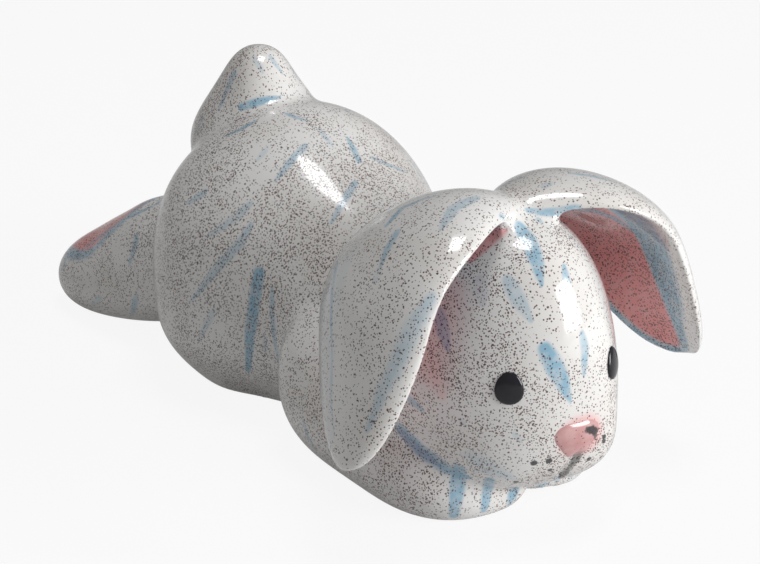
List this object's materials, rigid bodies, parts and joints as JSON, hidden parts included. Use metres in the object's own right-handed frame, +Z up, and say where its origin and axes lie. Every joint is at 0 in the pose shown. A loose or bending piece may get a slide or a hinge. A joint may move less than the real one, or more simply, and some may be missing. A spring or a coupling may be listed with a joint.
{
  "type": "ceramic rabbit figurine",
  "caption": "Lying rabbit figurine in white speckled glaze with blue strokes, drooping ears and a cone tail, resting on its flat belly.",
  "frame": {"origin": "middle of the base, on the surface that the rabbit lies on", "axes": "+Z up, face towards -Y, the rabbit's left towards +X"},
  "size_m": [0.1255, 0.2225, 0.0995],
  "materials": {
    "glaze": "gloss",
    "eye_enamel": "gloss",
    "nose_glaze": "gloss"
  },
  "bodies": {
    "root": {"torso": "glaze", "head": "glaze", "left_ear": "glaze", "right_ear": "glaze", "tail": "glaze", "left_hind_foot": "glaze", "right_hind_foot": "glaze", "left_foreleg": "glaze", "right_foreleg": "glaze", "left_eye": "eye_enamel", "right_eye": "eye_enamel", "nose": "nose_glaze"}
  },
  "joints": []
}
